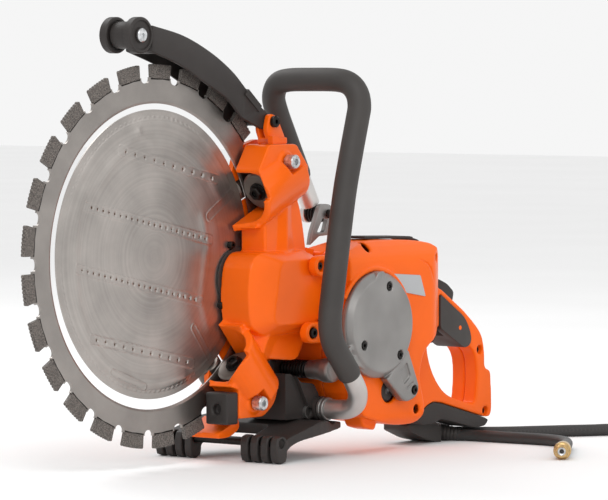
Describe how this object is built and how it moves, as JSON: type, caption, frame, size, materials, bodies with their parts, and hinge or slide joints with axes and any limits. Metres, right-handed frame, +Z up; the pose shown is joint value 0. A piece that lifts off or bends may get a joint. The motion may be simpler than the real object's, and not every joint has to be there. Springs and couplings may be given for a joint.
{
  "type": "concrete ring saw",
  "caption": "Hand-held electric ring saw for concrete with a rim-driven toothed ring, water disc, roller head, swing-up rim guard, bent front handle and rear D-handle.",
  "frame": {"origin": "on the ground, under the centre of the saw's own box without the free cable and hose", "axes": "+X toward the rear handle, +Y toward the saw's right-hand side with the belt cover, +Z up; the ring blade lies in a plane of constant Y"},
  "size_m": [1.0923, 0.3991, 0.4985],
  "materials": {
    "orange_plastic": "gloss",
    "orange_casting": "gloss",
    "dark_plastic": "satin",
    "rubber": "matte",
    "cast_alloy": "satin",
    "ring_steel": "brushed",
    "machined_steel": "machined",
    "black_steel": "blackened",
    "zinc_steel": "zinc plated",
    "brass": "satin",
    "copper_winding": "lacquered wire",
    "label_grey": "satin"
  },
  "bodies": {
    "saw_body": {"water_disc": "ring_steel", "drive_seal": "rubber", "support_axle_upper": "black_steel", "guide_axle_upper": "black_steel", "support_axle_lower": "black_steel", "guide_axle_lower": "black_steel", "roller_cover": "orange_casting", "drive_bearing_near": "machined_steel", "drive_bearing_far": "machined_steel", "motor_bearing_near": "machined_steel", "motor_bearing_far": "machined_steel", "motor_stator": "copper_winding", "drive_belt": "rubber", "belt_arm": "cast_alloy", "belt_cover": "orange_plastic", "head_frame": "orange_casting", "guard_bracket": "orange_casting", "guard_pivot_pin": "black_steel", "front_handle_tube": "cast_alloy", "front_handle_grip": "rubber", "lower_bracket": "dark_plastic", "lower_damper_spring": "black_steel", "lower_damper_boss": "cast_alloy", "upper_bracket": "cast_alloy", "housing_near": "orange_plastic", "housing_far": "orange_plastic", "top_cover": "dark_plastic", "label_plate": "label_grey", "motor_cover": "cast_alloy", "rear_grip": "rubber", "rear_lower_cover": "dark_plastic", "foot": "dark_plastic", "foot_rod": "black_steel", "bumper_block": "dark_plastic", "lower_ring_guard": "orange_plastic", "water_tap_body": "brass", "cord_boot": "rubber", "power_cable": "rubber", "cable_plug": "dark_plastic", "water_hose": "rubber", "hose_connector": "brass"},
    "ring": {"ring_blade": "ring_steel"},
    "drive_shaft": {"drive_wheel": "machined_steel", "drive_shaft": "machined_steel", "driven_pulley": "cast_alloy"},
    "motor_rotor": {"motor_rotor": "black_steel", "motor_pulley": "cast_alloy"},
    "support_roller_upper": {"support_roller_upper": "black_steel"},
    "support_roller_lower": {"support_roller_lower": "black_steel"},
    "guide_roller_upper": {"guide_roller_upper": "black_steel"},
    "guide_roller_lower": {"guide_roller_lower": "black_steel"},
    "guard_arm": {"guard_arm": "dark_plastic", "guard_wheel_axle": "zinc_steel"},
    "guard_wheel_near": {"guard_wheel_near": "dark_plastic"},
    "guard_wheel_far": {"guard_wheel_far": "dark_plastic"},
    "trigger": {"trigger": "dark_plastic"},
    "trigger_lockout": {"trigger_lockout": "dark_plastic"},
    "adjuster_upper": {"adjuster_upper": "zinc_steel"},
    "adjuster_lower": {"adjuster_lower": "zinc_steel"},
    "water_tap_lever": {"water_tap_lever": "dark_plastic"}
  },
  "joints": [
    {"name": "ring_spin", "type": "hinge", "parent": "saw_body", "child": "ring", "pos_m": [-0.16275, 0.01575, 0.2345], "axis": [0, 1, 0], "continuous": true},
    {"name": "drive_spin", "type": "hinge", "parent": "saw_body", "child": "drive_shaft", "pos_m": [-0.02126, 0.01575, 0.20417], "axis": [0, 1, 0], "continuous": true},
    {"name": "motor_spin", "type": "hinge", "parent": "saw_body", "child": "motor_rotor", "pos_m": [0.12425, -0.02925, 0.1485], "axis": [0, 1, 0], "continuous": true},
    {"name": "support_roller_upper_spin", "type": "hinge", "parent": "saw_body", "child": "support_roller_upper", "pos_m": [0.00026, -0.00865, 0.30845], "axis": [0.9107, 0, 0.4131], "continuous": true},
    {"name": "support_roller_lower_spin", "type": "hinge", "parent": "saw_body", "child": "support_roller_lower", "pos_m": [-0.04438, -0.00865, 0.10023], "axis": [0.6613, 0, -0.7501], "continuous": true},
    {"name": "guide_roller_upper_spin", "type": "hinge", "parent": "saw_body", "child": "guide_roller_upper", "pos_m": [0.00026, 0.03415, 0.30845], "axis": [0.9107, 0, 0.4131], "continuous": true},
    {"name": "guide_roller_lower_spin", "type": "hinge", "parent": "saw_body", "child": "guide_roller_lower", "pos_m": [-0.04438, 0.03415, 0.10023], "axis": [0.6613, 0, -0.7501], "continuous": true},
    {"name": "guard_swing", "type": "hinge", "parent": "saw_body", "child": "guard_arm", "pos_m": [0.01125, 0.01575, 0.3815], "axis": [0, 1, 0], "range_deg": [0, 50], "stiffness_Nm_per_rad": 0.5, "springref_deg": -20.05},
    {"name": "guard_wheel_near_spin", "type": "hinge", "parent": "guard_arm", "child": "guard_wheel_near", "pos_m": [-0.20775, -0.00165, 0.4785], "axis": [0, 1, 0], "continuous": true},
    {"name": "guard_wheel_far_spin", "type": "hinge", "parent": "guard_arm", "child": "guard_wheel_far", "pos_m": [-0.20775, 0.03315, 0.4785], "axis": [0, 1, 0], "continuous": true},
    {"name": "trigger_pull", "type": "hinge", "parent": "saw_body", "child": "trigger", "pos_m": [0.28325, -0.02925, 0.1455], "axis": [0, -1, 0], "range_deg": [0, 12], "stiffness_Nm_per_rad": 0.6, "springref_deg": -8.59},
    {"name": "lockout_press", "type": "hinge", "parent": "saw_body", "child": "trigger_lockout", "pos_m": [0.28025, -0.02925, 0.1855], "axis": [0, 1, 0], "range_deg": [0, 8], "stiffness_Nm_per_rad": 0.6, "springref_deg": -8.59},
    {"name": "adjuster_upper_turn", "type": "hinge", "parent": "saw_body", "child": "adjuster_upper", "pos_m": [0.01755, -0.03225, 0.3365], "axis": [0, -1, 0], "range_deg": [-180, 180]},
    {"name": "adjuster_lower_turn", "type": "hinge", "parent": "saw_body", "child": "adjuster_lower", "pos_m": [-0.03935, -0.03225, 0.067], "axis": [0, -1, 0], "range_deg": [-180, 180]},
    {"name": "water_tap_turn", "type": "hinge", "parent": "saw_body", "child": "water_tap_lever", "pos_m": [0.18525, 0.03175, 0.0845], "axis": [0, 1, 0], "range_deg": [0, 90]}
  ],
  "couplings": [
    {"joint": "drive_spin", "follows": "ring_spin", "ratio": 7.0417},
    {"joint": "motor_spin", "follows": "ring_spin", "ratio": 9.527},
    {"joint": "support_roller_upper_spin", "follows": "ring_spin", "ratio": -8.1364},
    {"joint": "support_roller_lower_spin", "follows": "ring_spin", "ratio": -8.1364},
    {"joint": "guide_roller_upper_spin", "follows": "ring_spin", "ratio": 11.188},
    {"joint": "guide_roller_lower_spin", "follows": "ring_spin", "ratio": 11.188}
  ]
}
